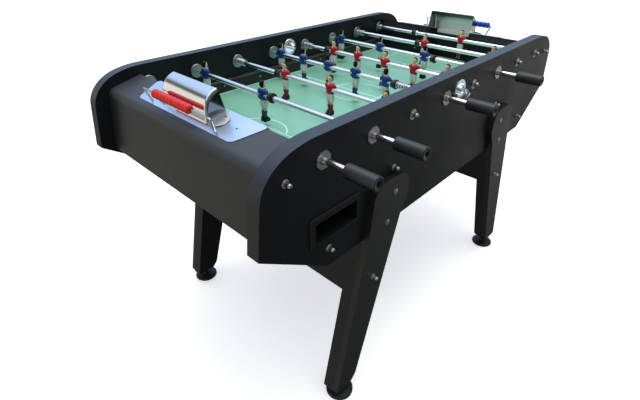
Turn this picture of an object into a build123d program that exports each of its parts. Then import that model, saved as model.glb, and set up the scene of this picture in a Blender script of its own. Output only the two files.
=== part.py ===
from build123d import *
import math
import os

# Eight-rod table football table, built as separate pieces.
# Frame: X along the length, Y across, Z up, origin on the floor under the middle. Millimetres.

# ---------------------------------------------------------------- driving dimensions
PITCH = 162.0                      # rod spacing along the table
ROD_Z = 839.0                      # height of every rod axis
ROD_X = [(i - 3.5) * PITCH for i in range(8)]
HANDLE = [-1, -1, 1, -1, 1, -1, 1, 1]      # side (sign of Y) on which each rod has its grip
MEN_Y = [
    [36],
    [287, 6],
    [95, -97, -290],
    [295, 178, 61, -56, -173],
    [183, 68, -50, -167, -284],
    [288, 91, -107],
    [-6, -284],
    [-78],
]
BUMPER_Y = [-189.0, -27.0, 123.5, -203.5, 212.0, -141.0, 22.5, 142.0]   # middle of each rubber stop's sleeve

INNER = 340.0                      # half width between the side panels
PANEL_T = 35.0
OUTER = INNER + PANEL_T
TOP_Z = 896.0
BODY_BOTTOM = 550.0
TRIM_T = 2.5

FIELD_Z = 747.0                    # playing surface
FIELD_T = 18.0
FIELD_HALF = 612.0
BAND_T = 12.0

END_X = 589.0                      # inner face of the end walls and inner edge of the end tops
GOAL_HALF = 98.0
NOTCH_X = 650.0                    # end of the cut-out in the end top under the hood
END_T = 26.0
SLOPE = 0.24                       # fall of the end top, per mm outwards

TUBE_R = 7.5
ROD_R = 5.5
FIT = 0.1                          # running clearance on radius
GRIP_R = 16.0
GRIP_IN, GRIP_OUT = 437.0, 514.0

LEG_T = 18.0
FOOT_X, FOOT_Y = 488.0, 366.0

ENTRY_Z = 844.0
ENTRY_X = {-1: -10.0, 1: 0.0}       # the front mouth sits a little left of the middle
SLOT_X, SLOT_Z, SLOT_W, SLOT_H = 525.5, 667.0, 138.0, 52.0


def save(builder, name):
    builder.part.label = name
    export_step(builder.part, "parts/" + name + ".step")


# ---------------------------------------------------------------- side panel outline
CURVE = [(585.0, 896.0), (629.0, 891.6), (653.0, 886.2), (678.0, 876.2), (696.0, 864.8),
         (711.0, 851.0), (722.0, 836.0), (729.0, 820.0), (732.5, 802.0)]
T_START = (1.0, 0.0)
T_END = (0.1188, -0.9929)
A = (746.5, 685.0)
B = (552.0, BODY_BOTTOM)


def curve_points(inset):
    """Points of the rounded top corner, moved inwards by inset."""
    out = []
    for k, (x, z) in enumerate(CURVE):
        if k == 0:
            tx, tz = T_START
        elif k == len(CURVE) - 1:
            tx, tz = T_END
        else:
            tx = CURVE[k + 1][0] - CURVE[k - 1][0]
            tz = CURVE[k + 1][1] - CURVE[k - 1][1]
            n = math.hypot(tx, tz)
            tx, tz = tx / n, tz / n
        out.append((x + tz * inset, z - tx * inset))
    return out


def corner_a(inset):
    """Lower outer corner, moved along the slanting bottom edge so the upright edge is inset."""
    dx, dz = B[0] - A[0], B[1] - A[1]
    n = math.hypot(dx, dz)
    dx, dz = dx / n, dz / n
    t = inset / (-dx * -T_END[1] - dz * T_END[0]) if inset else 0.0
    return (A[0] + dx * t, A[1] + dz * t)


def half_line(sign, inset):
    pts = curve_points(inset)
    Spline(*[(sign * x, z) for x, z in pts],
           tangents=[(sign * T_START[0], T_START[1]), (sign * T_END[0], T_END[1])])
    a = corner_a(inset)
    Line((sign * pts[-1][0], pts[-1][1]), (sign * a[0], a[1]))
    return pts, a


# bolts of the front panel; the rear panel is the same board turned round
PANEL_BOLTS = [(-669.0, 828.0), (-549.0, 603.5), (-309.0, 717.0), (669.0, 828.0), (527.0, 603.5), (281.0, 720.0)]
LEG_BOLTS = [(-320.0, 656.5), (-346.0, 574.0), (-391.0, 416.0), (311.0, 656.5), (334.0, 574.0), (374.0, 414.0)]
LEG_CAPS = (0, 1, 3, 4)            # these two on each leg have flat caps, the lowest a domed nut

for side, name in ((-1, "side_panel_front"), (1, "side_panel_rear")):
    start = INNER if side < 0 else -OUTER
    with BuildPart() as panel:
        with BuildSketch(Plane.XZ.offset(start)):
            with BuildLine():
                pts, a = half_line(1, TRIM_T)
                half_line(-1, TRIM_T)
                Line((-pts[0][0], pts[0][1]), (pts[0][0], pts[0][1]))
                Line(a, B)
                Line(B, (-B[0], B[1]))
                Line((-B[0], B[1]), (-a[0], a[1]))
            make_face()
            with Locations(*[(x, ROD_Z) for x in ROD_X]):
                Circle(14.0, mode=Mode.SUBTRACT)
            with Locations((ENTRY_X[side], ENTRY_Z)):
                Circle(24.0, mode=Mode.SUBTRACT)
            with Locations((side * SLOT_X, SLOT_Z)):
                Rectangle(SLOT_W + 8, SLOT_H + 8, mode=Mode.SUBTRACT)
            bolts = PANEL_BOLTS + LEG_BOLTS[:2] + LEG_BOLTS[3:5]
            with Locations(*[(-side * x, z) for x, z in bolts]):
                Circle(4.0, mode=Mode.SUBTRACT)
        extrude(amount=PANEL_T)
    save(panel, name)

# edge strip over the ends and top of both panels
with BuildPart() as trims:
    with BuildSketch(Plane.XZ.offset(INNER)):
        with BuildLine():
            po, ao = half_line(1, 0)
            half_line(-1, 0)
            pi_, ai = half_line(1, TRIM_T)
            half_line(-1, TRIM_T)
            Line((-po[0][0], po[0][1]), (po[0][0], po[0][1]))
            Line((-pi_[0][0], pi_[0][1]), (pi_[0][0], pi_[0][1]))
            Line(ao, ai)
            Line((-ao[0], ao[1]), (-ai[0], ai[1]))
        make_face()
    extrude(amount=PANEL_T)
    mirror(about=Plane.XZ)
save(trims, "panel_edge_trims")

# ---------------------------------------------------------------- end tops and fronts


def slope_z(x, drop=0.0):
    return 869.0 - SLOPE * (x - END_X) - drop


FRONT_K = 0.11194                                   # outward slant of the end front
CORNER = (687.9, slope_z(687.9))


def front_x(z, inset=0.0):
    return CORNER[0] + (CORNER[1] - z) * FRONT_K - inset * math.hypot(1, FRONT_K)


DROP = END_T * math.hypot(1, SLOPE)
in_z = 824.28
for _ in range(20):
    in_z = slope_z(front_x(in_z, END_T), DROP)
END_BOTTOM = 672.0

with BuildPart() as end_caps:
    with BuildSketch(Plane.XZ):
        with BuildLine():
            FilletPolyline((-END_X, slope_z(END_X)), (-CORNER[0], CORNER[1]),
                           (-front_x(END_BOTTOM), END_BOTTOM), radius=26.0)
            Polyline((-front_x(END_BOTTOM), END_BOTTOM), (-front_x(END_BOTTOM, END_T), END_BOTTOM),
                     (-front_x(in_z, END_T), in_z), (-END_X, slope_z(END_X, DROP)),
                     (-END_X, slope_z(END_X)))
        make_face()
    extrude(amount=INNER, both=True)
    with Locations((-(END_X + NOTCH_X) / 2 + 1.0, 0, 860)):
        Box(NOTCH_X - END_X + 2.0, 2 * GOAL_HALF, 80, mode=Mode.SUBTRACT)
    mirror(about=Plane.YZ)
save(end_caps, "end_caps")

WALL_T = 15.0
with BuildPart() as end_walls:
    with BuildSketch(Plane.XZ):
        with BuildLine():
            Polyline((-END_X, FIELD_Z), (-END_X - WALL_T, FIELD_Z),
                     (-END_X - WALL_T, slope_z(END_X + WALL_T, DROP)),
                     (-END_X, slope_z(END_X, DROP)), close=True)
        make_face()
    extrude(amount=INNER, both=True)
    with Locations((-END_X - WALL_T / 2, 0, 800)):
        Box(WALL_T + 4, 2 * GOAL_HALF, 160, mode=Mode.SUBTRACT)
    mirror(about=Plane.YZ)
save(end_walls, "end_walls")

# goal recess with its ball drop, one at each end
GB = 6.0
BACK_X = 656.0
with BuildPart() as goal_boxes:
    with BuildSketch(Plane.XZ.offset(-GOAL_HALF - GB)):
        with BuildLine():
            Polyline((-604.0, FIELD_Z), (-FIELD_HALF, FIELD_Z), (-FIELD_HALF, 658.0),
                     (-BACK_X - GB, 684.0), (-BACK_X - GB, slope_z(BACK_X + GB, DROP)),
                     (-604.0, slope_z(604.0, DROP)), close=True)
        make_face()
    extrude(amount=2 * (GOAL_HALF + GB))
    with BuildSketch(Plane.XZ.offset(-GOAL_HALF)):
        with BuildLine():
            Polyline((-600.0, FIELD_Z), (-FIELD_HALF + 1.0, FIELD_Z), (-FIELD_HALF + 1.0, 664.0),
                     (-BACK_X, 690.0), (-BACK_X, 860.0), (-600.0, 860.0), close=True)
        make_face()
    extrude(amount=2 * GOAL_HALF, mode=Mode.SUBTRACT)
    mirror(about=Plane.YZ)
save(goal_boxes, "goal_boxes")

# ---------------------------------------------------------------- playing field and side bands
with BuildPart() as playfield:
    with BuildSketch(Plane.XY.offset(FIELD_Z - FIELD_T)):
        Rectangle(2 * FIELD_HALF, 2 * INNER)
    extrude(amount=FIELD_T)
save(playfield, "playfield")

with BuildPart() as side_bands:
    with BuildSketch(Plane.YZ.offset(-END_X)):
        with BuildLine():
            y0, y1 = INNER - BAND_T, INNER
            l1 = Line((y1, FIELD_Z), (y0, FIELD_Z))
            l2 = Line((y0, FIELD_Z), (y0, 777.0))
            s1 = Spline((y0, 777.0), (y0 + 3.2, 785.0), (y1, 789.0), tangents=[(0, 1), (1, 0.12)])
            l3 = Line((y1, 789.0), (y1, FIELD_Z))
        make_face()
    extrude(amount=2 * END_X)
    mirror(about=Plane.XZ)
save(side_bands, "side_bands")

# ---------------------------------------------------------------- bottom of the body
with BuildPart() as bottom_boards:
    with BuildSketch(Plane.XZ):
        with Locations((0, 566.0)):
            Rectangle(2 * 548.0, 16.0)
    extrude(amount=INNER, both=True)
    with BuildSketch(Plane.XZ):
        with BuildLine():
            Polyline((-549.0, 558.0), (-700.0, 662.9), (-700.0, 671.5), (-684.6, 671.5),
                     (-549.0, 577.1), close=True)
        make_face()
        mirror(about=Plane.YZ)
    extrude(amount=INNER, both=True)
save(bottom_boards, "bottom_boards")

# sloping ball runways from the goals to the return slots, front left and rear right
RUN_IN, RUN_OUT = 445.0, 611.0
with BuildPart() as runway:
    with BuildSketch(Plane.YZ.offset(-RUN_OUT)):
        with BuildLine():
            Polyline((-339.5, 627.0), (110.0, 649.0), (110.0, 665.0), (-339.5, 643.0), close=True)
        make_face()
    extrude(amount=RUN_OUT - RUN_IN)
    with BuildSketch(Plane.YZ.offset(-RUN_OUT + 6.0)):
        with BuildLine():
            Polyline((-345.0, 632.7), (104.0, 654.7), (104.0, 700.0), (-345.0, 700.0), close=True)
        make_face()
    extrude(amount=RUN_OUT - RUN_IN - 12.0, mode=Mode.SUBTRACT)
run_rear = Rot(0, 0, 180) * runway.part
with BuildPart() as ball_runways:
    add(runway.part)
    add(run_rear)
save(ball_runways, "ball_runways")

# ---------------------------------------------------------------- legs


def leg_out(z):
    return 419.0 + (555.0 - z) * 0.21748


def leg_in(z):
    return 282.0 + (582.0 - z) * 0.31499


LEG_BOTTOM = 42.0
with BuildPart() as leg_plates:
    with BuildSketch(Plane.XZ.offset(OUTER)):
        with BuildLine():
            lo = leg_out(LEG_BOTTOM)
            FilletPolyline(
                (-464.0, LEG_BOTTOM), (-lo, LEG_BOTTOM), (-leg_out(560.0), 560.0),
                (-408.0, 640.0), (-402.0, 703.0), (-262.0, 703.0), (-255.0, 628.0),
                (-leg_in(575.0), 575.0), (-leg_in(62.0), 62.0),
                radius=[4, 40, 60, 48, 48, 40, 60, ],
            )
            Line((-leg_in(62.0), 62.0), (-464.0, LEG_BOTTOM))
        make_face()
    extrude(amount=LEG_T)
    mirror(about=Plane.XZ)
    mirror(about=Plane.YZ)
    for s in (-1, 1):
        with BuildSketch(Plane.XZ.offset(OUTER if s < 0 else -OUTER - LEG_T)):
            with Locations(*[(-s * x, z) for x, z in LEG_BOLTS]):
                Circle(4.0)
        extrude(amount=LEG_T, mode=Mode.SUBTRACT)
save(leg_plates, "leg_plates")

with BuildPart() as leg_posts:
    with BuildSketch(Plane.XZ.offset(INNER)):
        with BuildLine():
            Polyline((-464.0, LEG_BOTTOM), (-leg_out(LEG_BOTTOM), LEG_BOTTOM),
                     (-leg_out(BODY_BOTTOM), BODY_BOTTOM), (-leg_in(BODY_BOTTOM), BODY_BOTTOM),
                     (-leg_in(62.0), 62.0), close=True)
        make_face()
    extrude(amount=PANEL_T)
    with BuildSketch(Plane.XY.offset(LEG_BOTTOM)):
        with Locations((-FOOT_X, -FOOT_Y)):
            Circle(6.3)
    extrude(amount=70.0, mode=Mode.SUBTRACT)
    mirror(about=Plane.XZ)
    mirror(about=Plane.YZ)
    for s in (-1, 1):
        with BuildSketch(Plane.XZ.offset(INNER if s < 0 else -OUTER)):
            with Locations(*[(-s * x, z) for x, z in (LEG_BOLTS[2], LEG_BOLTS[5])]):
                Circle(4.0)
        extrude(amount=PANEL_T, mode=Mode.SUBTRACT)
save(leg_posts, "leg_posts")

CROSS_Z = 381.0
CROSS_TOP = 558.0
with BuildPart() as cross_boards:
    with BuildSketch(Plane.XZ):
        with BuildLine():
            Polyline((-leg_out(CROSS_Z), CROSS_Z), (-leg_out(CROSS_TOP), CROSS_TOP),
                     (-leg_out(CROSS_TOP) + 18.0, CROSS_TOP), (-leg_out(CROSS_Z) + 18.0, CROSS_Z),
                     close=True)
        make_face()
        with BuildLine():
            Polyline((-leg_in(CROSS_Z), CROSS_Z), (-leg_in(CROSS_TOP), CROSS_TOP),
                     (-leg_in(CROSS_TOP) - 18.0, CROSS_TOP), (-leg_in(CROSS_Z) - 18.0, CROSS_Z),
                     close=True)
        make_face()
        mirror(about=Plane.YZ)
    extrude(amount=INNER, both=True)
    with BuildSketch(Plane.XZ):
        with BuildLine():
            Polyline((-leg_out(CROSS_Z) + 18.2, CROSS_Z), (-leg_out(CROSS_Z + 18) + 18.2, CROSS_Z + 18),
                     (-leg_in(CROSS_Z + 18) - 18.2, CROSS_Z + 18), (-leg_in(CROSS_Z) - 18.2, CROSS_Z),
                     close=True)
        make_face()
        mirror(about=Plane.YZ)
    extrude(amount=INNER, both=True)
save(cross_boards, "leg_cross_boards")

# levelling feet: domed pad on a threaded stem, one node each
for name, fx, fy in (("foot_front_left", -1, -1), ("foot_front_right", 1, -1),
                     ("foot_rear_left", -1, 1), ("foot_rear_right", 1, 1)):
    with BuildPart() as foot:
        with BuildSketch(Plane.XZ.offset(-fy * FOOT_Y)):
            cx = fx * FOOT_X
            with BuildLine():
                Polyline((cx, 0), (cx + 39.0, 0), (cx + 41.0, 2.5), (cx + 41.0, 7.0))
                Spline((cx + 41.0, 7.0), (cx + 33.0, 11.0), (cx + 14.0, 14.5),
                       tangents=[(-0.5, 1.0), (-1.0, 0.12)])
                Polyline((cx + 14.0, 14.5), (cx + 11.0, 22.0), (cx + 6.0, 22.0), (cx + 6.0, 96.0),
                         (cx, 96.0), (cx, 0))
            make_face()
        revolve(axis=Axis((cx, fy * FOOT_Y, 0), (0, 0, 1)), revolution_arc=360)
    save(foot, name)

# ---------------------------------------------------------------- rods
GRIP_PLUG = 3.0
for i in range(8):
    n = "rod_%d" % (i + 1)
    x, h = ROD_X[i], HANDLE[i]
    axis = Axis((x, 0, ROD_Z), (0, 1, 0))
    far = max(m * -h for m in MEN_Y[i])            # outermost figure on the side without a grip
    tube_end = -h * (far + 23.0)
    if i == 0:
        tube_end = 336.0 - 0.5 - 42.0               # the goalkeepers' tubes stop them at the posts
    if i == 7:
        tube_end = -(336.0 - 0.5)
    with BuildPart() as tube:
        with BuildSketch(Plane.XY.offset(ROD_Z)):
            with BuildLine():
                Polyline((x + ROD_R + FIT, tube_end), (x + TUBE_R, tube_end),
                         (x + TUBE_R, h * (GRIP_OUT - 20.0)), (x, h * (GRIP_OUT - 20.0)),
                         (x, h * (GRIP_OUT - 26.0)), (x + ROD_R + FIT, h * (GRIP_OUT - 26.0)),
                         close=True)
            make_face()
        revolve(axis=axis, revolution_arc=360)
    save(tube, n + "_tube")

    with BuildPart() as grip:
        with BuildSketch(Plane.XY.offset(ROD_Z)):
            with BuildLine():
                Polyline((x + TUBE_R, h * GRIP_IN), (x + GRIP_R - 2.5, h * GRIP_IN),
                         (x + GRIP_R, h * (GRIP_IN + 2.5)), (x + GRIP_R, h * (GRIP_OUT - 2.0)),
                         (x + GRIP_R - 2.0, h * GRIP_OUT), (x + 12.5, h * GRIP_OUT),
                         (x + 6.0, h * (GRIP_OUT - 1.6)), (x + 6.0, h * (GRIP_OUT - 16.0)),
                         (x, h * (GRIP_OUT - 16.0)), (x, h * (GRIP_OUT - 20.0)),
                         (x + TUBE_R, h * (GRIP_OUT - 20.0)), close=True)
            make_face()
        revolve(axis=axis, revolution_arc=360)
    save(grip, n + "_grip")

    # rubber stop with its end flange, towards the grip side
    b = BUMPER_Y[i]
    with BuildPart() as bumper:
        with BuildSketch(Plane.XY.offset(ROD_Z)):
            with BuildLine():
                r0 = TUBE_R + FIT
                Polyline((x + r0, b - h * 7.5), (x + 10.8, b - h * 7.5), (x + 12, b - h * 6.3),
                         (x + 12, b + h * 3), (x + 14, b + h * 3), (x + 14, b + h * 10),
                         (x + r0, b + h * 10), close=True)
            make_face()
        revolve(axis=axis, revolution_arc=360)
        if i in (0, 7):
            with BuildSketch(Plane.XY.offset(ROD_Z)):
                with Locations((x + (r0 + 11.5) / 2, b - h * 12.2)):
                    Rectangle(11.5 - r0, 8.0)
            revolve(axis=axis, revolution_arc=360)
        if i == 3:
            with BuildSketch(Plane.XY.offset(ROD_Z)):
                with Locations((x + 9.9, b + h * 17.2)):
                    Rectangle(3.2, 14.0)
            revolve(axis=axis, revolution_arc=360)
    save(bumper, n + "_bumper")

# one playing figure, facing +X, at the origin of its rod
with BuildPart() as figure:
    for z, rx, ry in ((-46.0, 6.2, 8.8), (-41.0, 8.2, 11.4), (-15.0, 9.2, 12.6), (-11.0, 10.4, 14.0),
                      (-2.0, 11.6, 19.6), (9.0, 11.8, 20.4), (16.0, 9.6, 17.4), (21.0, 5.2, 7.0)):
        with BuildSketch(Plane.XY.offset(z)):
            Ellipse(rx, ry)
    loft(ruled=True)
    with BuildSketch(Plane.XY.offset(-70)):
        Ellipse(6.0, 8.6)
    extrude(amount=30)
    with Locations((0.4, 0, 31.0)):
        Sphere(10.6)
    with BuildSketch(Plane.XZ.offset(-11.0)):
        with BuildLine():
            Polyline((-10.0, -76.0), (-8.6, -78.0), (12.5, -78.0), (15.5, -75.0), (14.5, -69.0),
                     (4.0, -63.5), (-8.6, -63.5), (-10.0, -65.5), close=True)
        make_face()
    extrude(amount=22.0)
    with BuildSketch(Plane.XZ.offset(-40)):
        Circle(TUBE_R)
    extrude(amount=80.0, mode=Mode.SUBTRACT)
fig_plus = figure.part
fig_minus = Rot(0, 0, 180) * figure.part
for i in range(8):
    blue = HANDLE[i] < 0
    with BuildPart() as men:
        with Locations(*[(ROD_X[i], y, ROD_Z) for y in MEN_Y[i]]):
            add(fig_plus if blue else fig_minus)
    save(men, "rod_%d_men" % (i + 1))

# fixed inner rods, held by the panel on the side away from the grip
with BuildPart() as inner_rods:
    for i in range(8):
        h = HANDLE[i]
        with BuildSketch(Plane.XZ.offset(h * (OUTER + 4.0))):
            with Locations((ROD_X[i], ROD_Z)):
                Circle(ROD_R)
        extrude(amount=-h * (OUTER + 4.0 + 330.0))
save(inner_rods, "inner_rods")

# bearings: inner disc, bush through the panel, outer octagonal plate on the grip side
with BuildPart() as bearings:
    for i in range(8):
        x = ROD_X[i]
        for s in (-1, 1):
            grip_side = s == HANDLE[i]
            r0 = (TUBE_R + FIT) if grip_side else ROD_R
            nose = [(x + 9.6, s * OUTER), (x + 9.6, s * (OUTER + 7.5)), (x + r0, s * (OUTER + 7.5))] \
                if grip_side else [(x + r0, s * OUTER)]
            with BuildSketch(Plane.XY.offset(ROD_Z)):
                with BuildLine():
                    Polyline((x + r0, s * 336.0), (x + 21.0, s * 336.0), (x + 22.0, s * 337.0),
                             (x + 22.0, s * INNER), (x + 14.0, s * INNER), (x + 14.0, s * OUTER),
                             *nose, close=True)
                make_face()
            revolve(axis=Axis((x, 0, ROD_Z), (0, 1, 0)), revolution_arc=360)
            if grip_side:
                with BuildSketch(Plane.XZ.offset(-s * OUTER)):
                    with Locations((x, ROD_Z)):
                        RegularPolygon(19.8, 8, major_radius=False, rotation=22.5)
                        Circle(9.6, mode=Mode.SUBTRACT)
                extrude(amount=-s * 3.0)
save(bearings, "rod_bearings")

# buffer springs at rest length, against the inner discs on the grip side
with BuildPart() as springs:
    for i in range(8):
        if i == 3:
            continue
        h = HANDLE[i]
        length = 14.0 if i in (0, 7) else 38.0
        with BuildSketch(Plane.XY.offset(ROD_Z)):
            with Locations((ROD_X[i] + 10.0, h * (335.6 - length / 2))):
                Rectangle(3.0, length)
        revolve(axis=Axis((ROD_X[i], 0, ROD_Z), (0, 1, 0)), revolution_arc=360)
save(springs, "buffer_springs")

# ---------------------------------------------------------------- goal plates, hoods and counters
n_len = math.hypot(1, SLOPE)
P_SLOPE = Plane(origin=(-END_X, 0, slope_z(END_X)), x_dir=(-1, 0, -SLOPE), z_dir=(-SLOPE, 0, 1))
PLATE_T = 2.0
with BuildPart() as plates:
    with BuildSketch(P_SLOPE):
        with BuildLine():
            FilletPolyline((-6, 97), (-6, 236), (77, 201), (77, -201), (-6, -236), (-6, -97),
                           radius=[9, 20, 20, 9])
            Polyline((-6, -97), (62.0, -97), (62.0, 97), (-6, 97))
        make_face()
        with Locations((35.0, 172.0), (35.0, -172.0)):
            Circle(2.2, mode=Mode.SUBTRACT)
    extrude(amount=PLATE_T)
    mirror(about=Plane.YZ)
save(plates, "goal_plates")

# hood: quarter-round sheet rolled over into two cheeks, open towards the field
HOOD_C, HOOD_R, HOOD_Y = (-599.0, 883.5), 50.0, 97.0


def hood_block(t):
    """Solid block of the hood's outer shape, drawn in by t."""
    r = HOOD_R - t
    a0 = math.radians(90.0 if t else 104.0)   # the inner block runs on level, out through the mouth
    top = (HOOD_C[0] + r * math.cos(a0), HOOD_C[1] + r * math.sin(a0))
    a1 = math.radians(142.0)
    mid = (HOOD_C[0] + r * math.cos(a1), HOOD_C[1] + r * math.sin(a1))
    side = (HOOD_C[0] - r, HOOD_C[1])
    with BuildPart() as blk:
        with BuildSketch(Plane.XZ):
            with BuildLine():
                ThreePointArc(top, mid, side)
                if t:
                    Polyline(side, (side[0], 846.0), (-560.0, 846.0), (-560.0, top[1]), top)
                else:
                    Polyline(side, (side[0], 846.0), (-588.0, 846.0), top)
            make_face()
        extrude(amount=HOOD_Y - t, both=True)
        ends = blk.faces().filter_by(Axis.Y)
        rim = [e for f in ends for e in f.edges()
               if e.geom_type == GeomType.CIRCLE or abs(e.center().X - side[0]) < 0.01
               or (t and e.center().Z > HOOD_C[1] + 30)]
        fillet(rim, radius=8.0 - t)
    return blk.part


hood_outer = hood_block(0.0)
hood_inner = hood_block(1.5)
with BuildPart() as hood_shell:
    add(hood_outer)
    add(hood_inner, mode=Mode.SUBTRACT)
    # trim along the sloping plate
    with BuildSketch(P_SLOPE.offset(PLATE_T)):
        with Locations((30, 0)):
            Rectangle(160, 400)
    extrude(amount=-60, mode=Mode.SUBTRACT)
    # rear foot strip
    with BuildSketch(P_SLOPE.offset(PLATE_T)):
        with Locations((64.2, 0)):
            Rectangle(7.0, 180.0)
    extrude(amount=1.5)
with BuildPart() as tabs:
    # base tabs beside the cheeks, sloping down and outwards to the plate
    with BuildSketch(P_SLOPE.offset(PLATE_T)):
        with BuildLine():
            FilletPolyline((4.0, 95.8), (8.0, 112.0), (20.0, 131.0), (40.0, 135.0), (58.0, 125.0), (60.0, 95.8),
                           radius=[8, 8, 10, 8])
            Line((60.0, 95.8), (4.0, 95.8))
        make_face()
        with Locations((21.0, 117.0)):
            Circle(2.2, mode=Mode.SUBTRACT)
        mirror(about=Plane.XZ)
    extrude(amount=9.0)
    across = Plane(origin=P_SLOPE.offset(PLATE_T).origin, x_dir=(0, -1, 0), z_dir=(-1, 0, -SLOPE))
    with BuildSketch(across):
        with BuildLine():
            Polyline((-136, 0), (-136, 1.0))
            ThreePointArc((-136, 1.0), (-117, 5.6), (-95.5, 7.6))
            Polyline((-95.5, 7.6), (95.5, 7.6))
            ThreePointArc((95.5, 7.6), (117, 5.6), (136, 1.0))
            Polyline((136, 1.0), (136, 0), (-136, 0))
        make_face()
    extrude(amount=90.0, both=True, mode=Mode.INTERSECT)
with BuildPart() as hoods:
    add(hood_shell.part)
    add(tabs.part)
    mirror(about=Plane.YZ)
save(hoods, "goal_hoods")

# counter wire: a bar over the end top with two slanting legs
BAR_X, BAR_Z = 670.0, 892.0
with BuildPart() as wires:
    with BuildLine() as path:
        FilletPolyline((-656.5, -138.0, 856.2), (-BAR_X, -149.0, BAR_Z), (-BAR_X, 149.0, BAR_Z),
                       (-656.5, 138.0, 856.2), radius=5.5)
    with BuildSketch(Plane(origin=path.line @ 0, z_dir=path.line % 0)):
        Circle(2.5)
    sweep()
    mirror(about=Plane.YZ)
save(wires, "counter_wires")

BEAD = 16.1
for name, sx, first in (("counter_beads_left", -1, 90.0), ("counter_beads_right", 1, 19.0)):
    with BuildPart() as beads:
        for k in range(10):
            y1 = first - k * BEAD
            y0 = y1 - 15.9
            x = sx * BAR_X
            with BuildSketch(Plane.XY.offset(BAR_Z)):
                with BuildLine():
                    Polyline((x + 2.8, y0), (x + 7.4, y0))
                    Spline((x + 7.4, y0), (x + 11.5, (y0 + y1) / 2), (x + 7.4, y1),
                           tangents=[(1.0, 0.15), (-1.0, 0.15)])
                    Polyline((x + 7.4, y1), (x + 2.8, y1), (x + 2.8, y0))
                make_face()
            revolve(axis=Axis((x, 0, BAR_Z), (0, 1, 0)), revolution_arc=360)
    save(beads, name)

# ---------------------------------------------------------------- ball entry and return
with BuildPart() as entry:
    for side in (-1, 1):
        ex = ENTRY_X[side]
        y_axis = Axis((ex, 0, ENTRY_Z), (0, 1, 0))
        # both collars and the sleeve through the panel
        with BuildSketch(Plane.XY.offset(ENTRY_Z)):
            with BuildLine():
                Polyline((ex + 22.5, side * (INNER - 4)), (ex + 29.5, side * (INNER - 4)), (ex + 30.5, side * (INNER - 3)),
                         (ex + 30.5, side * INNER), (ex + 24.0, side * INNER), (ex + 24.0, side * OUTER),
                         (ex + 30.5, side * OUTER), (ex + 30.5, side * (OUTER + 2)), (ex + 29.5, side * (OUTER + 3)),
                         (ex + 22.5, side * (OUTER + 3)), close=True)
            make_face()
        revolve(axis=y_axis, revolution_arc=360)
        # bowl under the mouth
        with BuildSketch(Plane.YZ.offset(ex)):
            with BuildLine():
                y0 = side * (OUTER + 3.0)
                Line((y0 + side * 29.0, ENTRY_Z - 2), (y0 + side * 26.5, ENTRY_Z - 2))
                ThreePointArc((y0 + side * 26.5, ENTRY_Z - 2), (y0 + side * 18.74, ENTRY_Z - 20.74), (y0, ENTRY_Z - 28.5))
                Line((y0, ENTRY_Z - 28.5), (y0, ENTRY_Z - 31))
                ThreePointArc((y0, ENTRY_Z - 31), (y0 + side * 20.51, ENTRY_Z - 22.51), (y0 + side * 29.0, ENTRY_Z - 2))
            make_face()
        up = Axis((ex, y0, ENTRY_Z), (0, 0, 1))
        revolve(axis=up, revolution_arc=90)
        with BuildSketch(Plane.YZ.offset(ex)):
            with BuildLine():
                Line((y0 + side * 29.0, ENTRY_Z - 2), (y0 + side * 26.5, ENTRY_Z - 2))
                ThreePointArc((y0 + side * 26.5, ENTRY_Z - 2), (y0 + side * 18.74, ENTRY_Z - 20.74), (y0, ENTRY_Z - 28.5))
                Line((y0, ENTRY_Z - 28.5), (y0, ENTRY_Z - 31))
                ThreePointArc((y0, ENTRY_Z - 31), (y0 + side * 20.51, ENTRY_Z - 22.51), (y0 + side * 29.0, ENTRY_Z - 2))
            make_face()
        revolve(axis=up, revolution_arc=-90)
save(entry, "ball_entry_fittings")

with BuildPart() as frame_front:
    with BuildSketch(Plane.XZ.offset(OUTER)):
        with Locations((-SLOT_X - 2.5, SLOT_Z + 3.0)):
            Rectangle(163.0, 80.0)
    extrude(amount=5.0)
    chamfer(frame_front.faces().sort_by(Axis.Y)[0].edges(), length=2.5)
    with BuildSketch(Plane.XZ.offset(INNER)):
        with Locations((-SLOT_X, SLOT_Z)):
            Rectangle(SLOT_W + 8, SLOT_H + 8)
    extrude(amount=PANEL_T + 1.0)
    with BuildSketch(Plane.XZ.offset(INNER - 1.0)):
        with Locations((-SLOT_X, SLOT_Z)):
            Rectangle(SLOT_W, SLOT_H)
    extrude(amount=PANEL_T + 10.0, mode=Mode.SUBTRACT)
frame_rear = Rot(0, 0, 180) * frame_front.part
with BuildPart() as slot_frames:
    add(frame_front.part)
    add(frame_rear)
save(slot_frames, "return_slot_frames")

# ---------------------------------------------------------------- bolts with washers and domed nuts


def bolt_solid(shank, length, washer, nut, reach):
    """Shank along -Y from the origin, washer and long domed nut along +Y, or a flat cap when there is no nut."""
    with BuildPart() as b:
        with BuildSketch(Plane.XY):
            with BuildLine():
                if nut:
                    side = reach - nut
                    Polyline((0, -length), (shank, -length), (shank, 0), (washer, 0), (washer, 1.2), (washer - 0.8, 2.0),
                             (nut, 2.0), (nut, side))
                    Spline((nut, side), (nut * 0.72, side + nut * 0.70), (0, reach), tangents=[(0, 1.0), (-1.0, 0)])
                    Line((0, reach), (0, -length))
                else:
                    Polyline((0, -length), (shank, -length), (shank, 0), (washer, 0), (washer, 1.6))
                    ThreePointArc((washer, 1.6), (washer * 0.7, reach - 0.55), (3.0, reach))
                    Polyline((3.0, reach), (0, reach), (0, -length))
            make_face()
        revolve(axis=Axis.Y, revolution_arc=360)
    return b.part


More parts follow.
